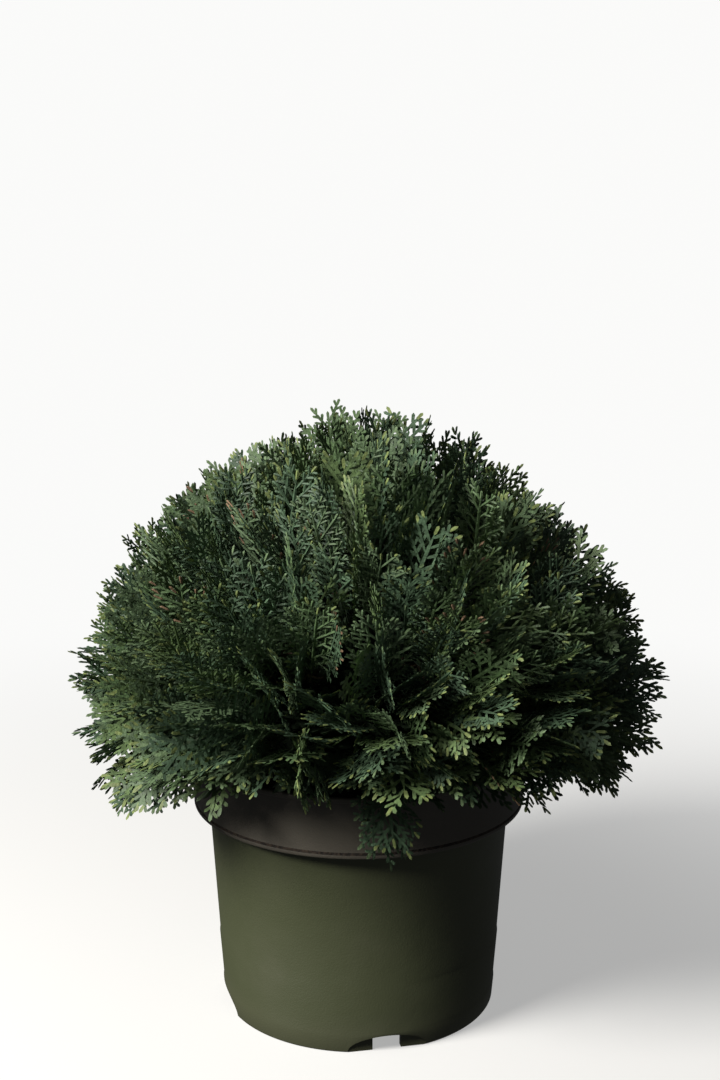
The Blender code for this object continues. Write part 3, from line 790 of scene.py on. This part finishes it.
chance = random.Random(SEED)
spray_plan = []
for way in dome_directions(CELLS):
    target = CROWN_CENTRE + way * crown_reach(way)
    stem = min(stems, key=lambda line: (nearest_on_line(target, line) - target).length)
    from_stem = (target - nearest_on_line(target, stem)).normalized()
    ahead = growth(way).lerp(from_stem, CELL_PULL).normalized()
    fork = above_rim(target - ahead * FORK_BACK)
    beside = nearest_on_line(fork, stem)
    lead = (stem[0] - beside).normalized() * (fork - beside).length * TWIG_LEAD
    foot = nearest_on_line(beside + lead, stem)
    if (fork - foot).length > SHORTEST_TWIG:
        twig_blocks.append(limb_corners(twig_corners, twig_line(foot, fork, ahead), twig_radii))
    across = Vector((0, 0, 1)).cross(way).normalized()
    upward = way.cross(across)
    cell_short = chance.uniform(*CELL_SHORTFALL)
    first_turn = chance.uniform(0.0, math.tau)
    for number in range(SPRAYS_A_CELL):
        turn = first_turn + number * GOLDEN_ANGLE
        spread = CELL_SPREAD * math.sqrt(number / SPRAYS_A_CELL)
        tilt = across * math.cos(turn) + upward * math.sin(turn)
        facing = (way + tilt * math.tan(spread)).normalized()
        inner = number == SPRAYS_A_CELL - 1
        short = cell_short + (INNER_SHORTFALL if inner else chance.uniform(*SPRAY_SHORTFALL))
        pulled_in = FRONT_PULLED_IN * frontness(facing) * lowness(facing, PULLED_IN_BELOW, PULLED_IN_OVER)
        tip = CROWN_CENTRE + facing * crown_reach(facing) * (1 - short) * (1 - pulled_in)
        if tip.z < lowest_tip(facing) and chance.random() > STRAGGLERS:
            continue
        fan = tilt * SPRAY_FAN * (number > 0)
        heading = (growth(facing).lerp(from_stem, SPRAY_PULL) + fan).normalized()
        spray_plan.append((tip, heading, fork, facing, False))
for way in dome_directions(FILLERS):
    tip = CROWN_CENTRE + way * crown_reach(way) * chance.uniform(*FILLER_DEPTH)
    if tip.z < max(lowest_tip(way), RIM_HEIGHT + FILLER_OVER_RIM):
        continue
    lean = direction(chance.uniform(0.0, math.tau), 0.0) * FILLER_LEAN
    heading = (way + FILLER_SWEEP * growth(way) + lean).normalized()
    spray_plan.append((tip, heading, tip, way, True))

young_wood, sockets, place = new_finish("young_wood")
mottle = place.cloud(YOUNG_WOOD_SCALE, detail=3.0)
place.feed(sockets["Roughness"], YOUNG_WOOD_ROUGHNESS)
mottled(sockets, mottle, YOUNG_WOOD_FADE, YOUNG_WOOD_DARK, YOUNG_WOOD_PALE, YOUNG_WOOD_BUMP)


# The sprays: flat, fan-shaped branchlets clothed in tiny scale leaves with a grey-blue bloom. Each has a
# midrib with side shoots left and right of it by turns, and each shoot has blunt fingers. The newest tips
# are paler. Deep in the crown the sprays are coarser, and their darker tone there is painted shade.
SPRAY_LENGTH = 0.070
SPRAY_WIDTH = 0.034
SPRAY_KINDS = 10
MIDRIB_WIDTH, MIDRIB_SHARE = 0.0021, 0.95
LEADER_FOOT, LEADER_SHARE, LEADER_SWING = 0.90, 0.10, 0.08
SHOOTS = 13
SHOOTS_FROM, SHOOTS_OVER, SHOOT_SHIFT = 0.16, 0.72, 0.0006
SHOOT_SLANT, SLANT_LOSS, SLANT_JITTER = 50, 16, 3.5
FULLNESS_FROM, FULLNESS_OVER, FULLNESS_POWER = 0.26, 0.62, 0.9
FULLNESS_JITTER = (0.82, 1.12)
SHOOT_LIFT = 0.05
FINGER_WIDTH, FINGER_WIDTHS = 0.0019, (0.85, 1.05)
FINGER_LENGTH, FINGER_LENGTHS, FINGER_SHORTENING = 0.0072, (0.75, 1.1), 0.35
FINGER_THICKNESS = 0.42
FINGER_SPACING, FEWEST_FINGERS = 0.0035, 2
FINGERS_FROM, FINGERS_OVER = 0.24, 0.70
FINGER_TURNS = (32, 46)
FINGER_LIFT = 0.12
END_FINGER_AT, END_FINGER_TURN, END_FINGER_LIFT = 0.86, 0.92, 0.10
END_FINGER_LENGTHS = (0.7, 0.95)
PALE_TIPS_FROM = 0.2
FINGER_SIDES, FINGER_RADII = 3, (0.50, 0.60)
FINGER_BODY, FINGER_POINT = 0.62, 0.19
LENGTH_COLUMN, WIDTH_COLUMN, TIP_COLUMN = 3, 4, 6
LONGER_THAN_FINGERS = 1.3
FILLER_WIDENING = 3.0
NEARLY_UPRIGHT = 0.05
RIM_CLEARANCE = 0.0015
RIM_SLOPE = 5.0
HIGHEST_LIFT = 0.012
SPRAY_SIZES, LOW_SPRAY_GROWTH = (0.84, 1.10), 0.12
SPRAY_ROLL, LOW_SPRAY_STEADINESS = 55, 27
SPRAY_BENDS, LOW_SPRAY_BEND = (-1.0, 2.2), 2.6
SPRAY_CUPS = (-6.0, 9.0)
SPRAY_TWIST = 3.0
LOW_SPRAYS_BELOW, LOW_SPRAYS_OVER = -0.10, 0.45
TAN_SHARE = 0.02
# The base colour of each tone of the scale leaves.
TONES = {
    "deep_blue_green": (0.040, 0.076, 0.040),
    "blue_green": (0.062, 0.112, 0.060),
    "mid_green": (0.076, 0.130, 0.052),
    "sage_green": (0.088, 0.140, 0.068),
    "fresh_green": (0.100, 0.158, 0.058),
}
TIP_TONES = {"tips_grey_green": (0.118, 0.180, 0.085), "tips_yellow_green": (0.175, 0.225, 0.075)}
# tips_tan is browned tips. inner is a darker tone for the coarse sprays deep in the crown: painted shade.
OTHER_TONES = {"tips_tan": (0.210, 0.135, 0.080), "inner": (0.030, 0.052, 0.026)}
COLOURS = {**TONES, **TIP_TONES, **OTHER_TONES}
BLOOM_SCALE, BLOOM_FADE = 240, (0.30, 0.70)
BLOOM_DARK, BLOOM_PALE = 0.66, 1.30
LEAF_ROUGHNESS = (0.52, 0.72)
LEAF_SCALE, LEAF_BUMP, LEAF_BUMP_STRENGTH = 850.0, 0.0003, 0.6

finger = bmesh.new()
bmesh.ops.create_cone(
    finger, cap_ends=True, segments=FINGER_SIDES, radius1=FINGER_RADII[0], radius2=FINGER_RADII[1],
    depth=FINGER_BODY,
)
caps = [face for face in finger.faces if abs(face.normal.z) > STEEP]
bmesh.ops.poke(finger, faces=caps, offset=FINGER_POINT)
bmesh.ops.recalc_face_normals(finger, faces=finger.faces)
finger_corners, finger_faces = mesh_arrays(finger)
# The finger is laid along its second axis, and the minus keeps its faces outwards.
finger_corners = finger_corners[:, [0, 2, 1]] * (-1.0, 1.0, 1.0)
finger_corners[:, 1] -= finger_corners[:, 1].min()
finger_corners[:, 1] /= finger_corners[:, 1].max()


def spray_rows(chance):
    """One flat spray: the midrib, the shoots and their fingers, each as a row of numbers.

    A row holds its foot across and along the spray, heading, length, width, lift, and 1 if it is a tip.
    """
    rows = [(0.0, 0.0, 0.0, SPRAY_LENGTH * MIDRIB_SHARE, MIDRIB_WIDTH, 0.0, 0)]
    leader = (0.0, SPRAY_LENGTH * LEADER_FOOT, chance.gauss(0, LEADER_SWING), SPRAY_LENGTH * LEADER_SHARE)
    rows.append((*leader, FINGER_WIDTH, 0.0, 1))
    for number in range(SHOOTS):
        share = number / (SHOOTS - 1)
        along = SPRAY_LENGTH * (SHOOTS_FROM + SHOOTS_OVER * share) + chance.gauss(0, SHOOT_SHIFT)
        side = 1 if number % 2 else -1
        slant = math.radians(SHOOT_SLANT - SLANT_LOSS * share + chance.gauss(0, SLANT_JITTER))
        fullness = math.sin(math.pi * (FULLNESS_FROM + FULLNESS_OVER * share)) ** FULLNESS_POWER
        fullness *= chance.uniform(*FULLNESS_JITTER)
        reach = SPRAY_WIDTH / 2 * fullness / math.sin(slant)
        heading = side * slant
        across_share, along_share = math.sin(heading), math.cos(heading)
        rows.append((0.0, along, heading, reach, FINGER_WIDTH, chance.gauss(0, SHOOT_LIFT), 0))
        fingers = max(FEWEST_FINGERS, round(reach / FINGER_SPACING))
        for step in range(fingers):
            out = reach * (FINGERS_FROM + FINGERS_OVER * (step + 0.5) / fingers)
            turn_side = 1 if (step + number) % 2 else -1
            turn = heading + turn_side * math.radians(chance.uniform(*FINGER_TURNS))
            length = FINGER_LENGTH * chance.uniform(*FINGER_LENGTHS)
            length *= 1 - FINGER_SHORTENING * step / fingers
            width = FINGER_WIDTH * chance.uniform(*FINGER_WIDTHS)
            lift = chance.gauss(0, FINGER_LIFT)
            rows.append((across_share * out, along + along_share * out, turn, length, width, lift, 0))
        out = reach * END_FINGER_AT
        length = FINGER_LENGTH * chance.uniform(*END_FINGER_LENGTHS)
        lift = chance.gauss(0, END_FINGER_LIFT)
        tip = 1 if share > PALE_TIPS_FROM else 0
        end_finger = (across_share * out, along + along_share * out, heading * END_FINGER_TURN, length)
        rows.append((*end_finger, FINGER_WIDTH, lift, tip))
    return np.array(rows)


def spray_blocks(rows):
    """The corners of every finger of a spray, in the spray's own plane: across, along and off it."""
    across, along, heading, length, width, lift = (column[:, None] for column in rows.T[:TIP_COLUMN])
    x = finger_corners[None, :, 0] * width
    y = finger_corners[None, :, 1] * length
    z = finger_corners[None, :, 2] * width * FINGER_THICKNESS + y * lift
    sine, cosine = np.sin(heading), np.cos(heading)
    return np.stack([across + x * cosine + y * sine, along + y * cosine - x * sine, z], axis=2)


def spray_axes(ahead, roll):
    """Rows that turn a spray's own axes to its place: its width, its length and its face."""
    level = Vector((0, 0, 1)).cross(ahead)
    level = level.normalized() if level.length > NEARLY_UPRIGHT else Vector((1, 0, 0))
    side = Matrix.Rotation(roll, 3, ahead) @ level
    return np.array([side, ahead, side.cross(ahead)])


def over_the_rim(block):
    """The fingers lifted clear of the pot's rim, and which to keep: those that aren't lifted too far."""
    out = np.hypot(block[:, :, 0], block[:, :, 1])
    beyond = np.maximum(0.0, out - RIM_RADIUS - RIM_CLEARANCE)
    lowest = RIM_HEIGHT + RIM_CLEARANCE - RIM_SLOPE * beyond
    lift = np.maximum(0.0, (lowest - block[:, :, 2]).max(axis=1))
    lifted = block.copy()
    lifted[:, :, 2] += lift[:, None]
    return lifted, lift < HIGHEST_LIFT


chance = random.Random(SEED + 1)
kinds, coarse_kinds = [], []
for number in range(SPRAY_KINDS):
    rows = spray_rows(chance)
    kinds.append((spray_blocks(rows), rows[:, TIP_COLUMN] == 1))
    shoots = rows[rows[:, LENGTH_COLUMN] > FINGER_LENGTH * LONGER_THAN_FINGERS]
    shoots[:, WIDTH_COLUMN] *= FILLER_WIDENING
    coarse_kinds.append((spray_blocks(shoots), np.zeros(len(shoots), bool)))
deck = [name for name in TONES for card in range(len(spray_plan) // len(TONES) + 1)]
chance.shuffle(deck)
fingers = {name: [] for name in COLOURS}
for (tip, heading, fork, facing, filler), tone in zip(spray_plan, deck):
    local, is_tip = (coarse_kinds if filler else kinds)[chance.randrange(SPRAY_KINDS)]
    low = lowness(facing, LOW_SPRAYS_BELOW, LOW_SPRAYS_OVER)
    size = chance.uniform(*SPRAY_SIZES) * (1 + LOW_SPRAY_GROWTH * low)
    roll = chance.gauss(0.0, math.radians(SPRAY_ROLL - LOW_SPRAY_STEADINESS * low))
    bend = chance.uniform(*SPRAY_BENDS) + LOW_SPRAY_BEND * low
    cup = chance.uniform(*SPRAY_CUPS)
    twist = chance.gauss(0.0, SPRAY_TWIST)
    x, y, z = (local[:, :, axis] * size for axis in range(3))
    z = z + 0.5 * bend * y**2 + cup * x**2 + twist * x * y
    axes = spray_axes(heading, roll)
    length = SPRAY_LENGTH * size
    root = np.array(tip) - np.array((0.0, length, 0.5 * bend * length**2)) @ axes
    block, kept = over_the_rim(root + np.stack([x, y, z], axis=2) @ axes)
    tip_tone = "tips_tan" if chance.random() < TAN_SHARE else chance.choice(list(TIP_TONES))
    # The coarse sprays deep in the crown take the darker inner tone, which is painted shade.
    fingers["inner" if filler else tone].append(block[kept & ~is_tip])
    fingers[tip_tone].append(block[kept & is_tip])
    foot = above_rim(Vector(root))
    if (foot - fork).length > SHORTEST_TWIG and not filler:
        twig_blocks.append(limb_corners(twig_corners, twig_line(fork, foot, heading), fine_twig_radii))

twigs = joined("twigs", np.array(twig_blocks), twig_faces, young_wood)

foliage_nodes = sorted(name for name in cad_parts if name.startswith("foliage_"))
for name, colour in COLOURS.items():
    finish, sockets, place = new_finish(f"scale_leaves_{name}")
    leaves = place.node("ShaderNodeTexVoronoi", inputs={"Vector": place, "Scale": LEAF_SCALE})
    bloom = place.cloud(BLOOM_SCALE, detail=2.0)
    dark = (*(BLOOM_DARK * part for part in colour), 1.0)
    pale = (*(BLOOM_PALE * part for part in colour), 1.0)
    place.feed(sockets["Base Color"], bloom.fade(*BLOOM_FADE).blend(dark, pale))
    place.feed(sockets["Roughness"], bloom.between(*LEAF_ROUGHNESS))
    place.feed(sockets["Normal"], leaves.bump(LEAF_BUMP, LEAF_BUMP_STRENGTH))
    piece = joined(f"sprays_{name}", np.concatenate(fingers[name]), finger_faces, finish)
    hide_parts(*foliage_nodes)
